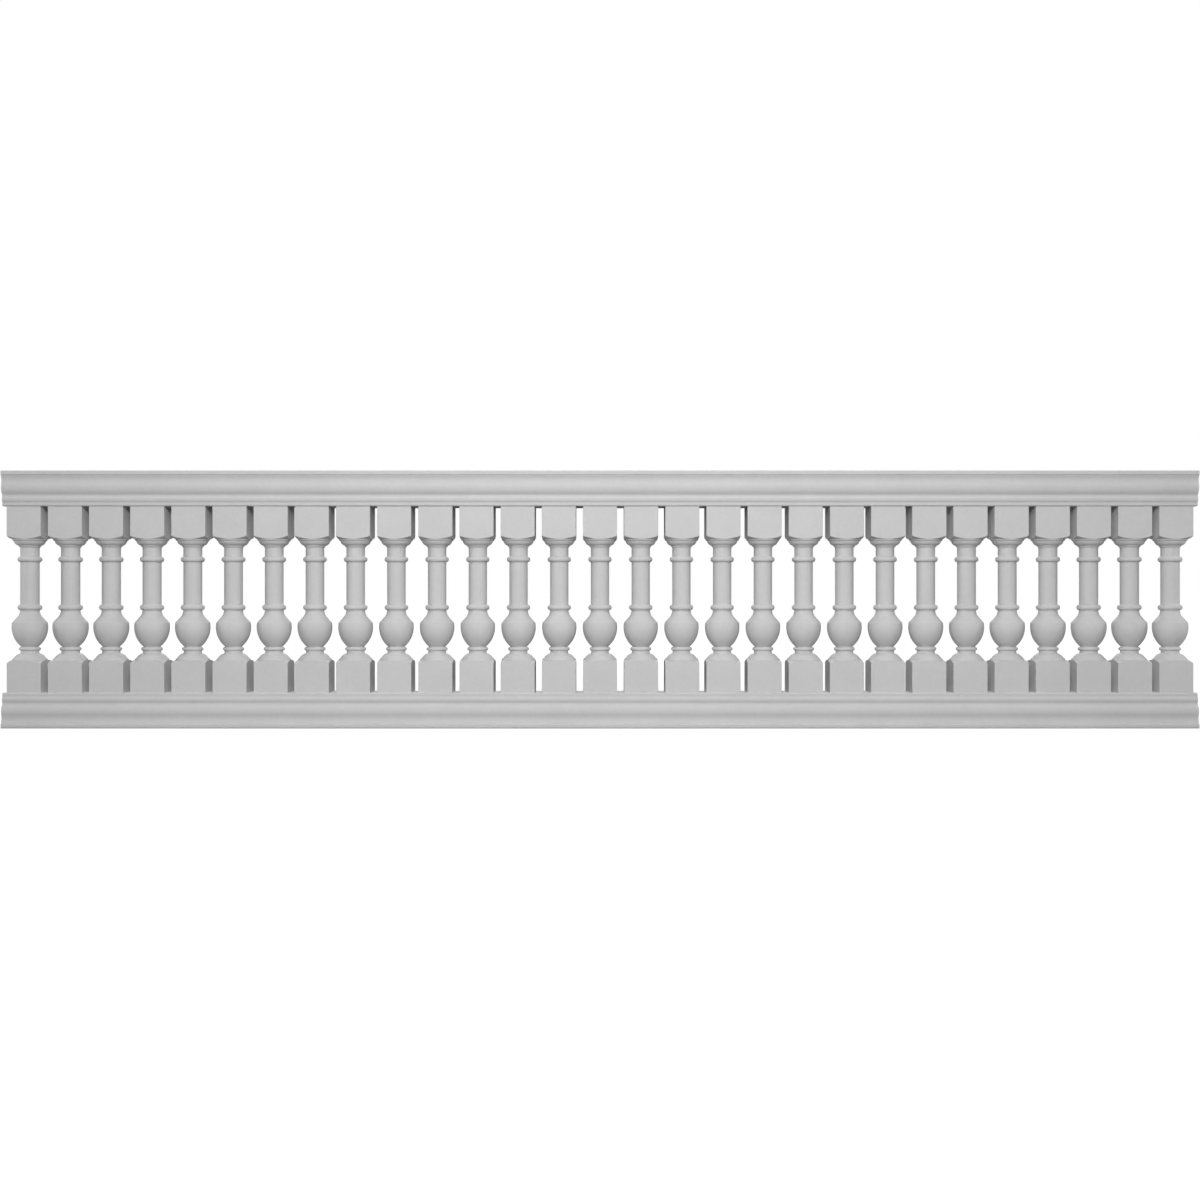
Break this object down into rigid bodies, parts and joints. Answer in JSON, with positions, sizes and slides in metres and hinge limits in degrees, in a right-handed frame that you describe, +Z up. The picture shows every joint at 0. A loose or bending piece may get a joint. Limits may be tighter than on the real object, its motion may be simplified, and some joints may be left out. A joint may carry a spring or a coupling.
{
  "type": "stone balustrade bay",
  "caption": "One bay of a cast stone balustrade: moulded bottom and top rails with a row of turned square-block balusters between them, each threaded on a steel rod.",
  "frame": {"origin": "middle of the bay, on the flat underside of the bottom rail", "axes": "+X along the rails, -Y the front as pictured (both faces are alike), +Z up"},
  "size_m": [3.6576, 0.1424, 0.7875],
  "materials": {
    "stone": "fine cast stone, light grey, smooth and matte",
    "rod_steel": "galvanised, dull"
  },
  "bodies": {
    "root": {"bottom_rail": "stone", "top_rail": "stone", "steel_rods": "rod_steel", "baluster_01": "stone", "baluster_02": "stone", "baluster_03": "stone", "baluster_04": "stone", "baluster_05": "stone", "baluster_06": "stone", "baluster_07": "stone", "baluster_08": "stone", "baluster_09": "stone", "baluster_10": "stone", "baluster_11": "stone", "baluster_12": "stone", "baluster_13": "stone", "baluster_14": "stone", "baluster_15": "stone", "baluster_16": "stone", "baluster_17": "stone", "baluster_18": "stone", "baluster_19": "stone", "baluster_20": "stone", "baluster_21": "stone", "baluster_22": "stone", "baluster_23": "stone", "baluster_24": "stone", "baluster_25": "stone", "baluster_26": "stone", "baluster_27": "stone", "baluster_28": "stone", "baluster_29": "stone"}
  },
  "joints": []
}
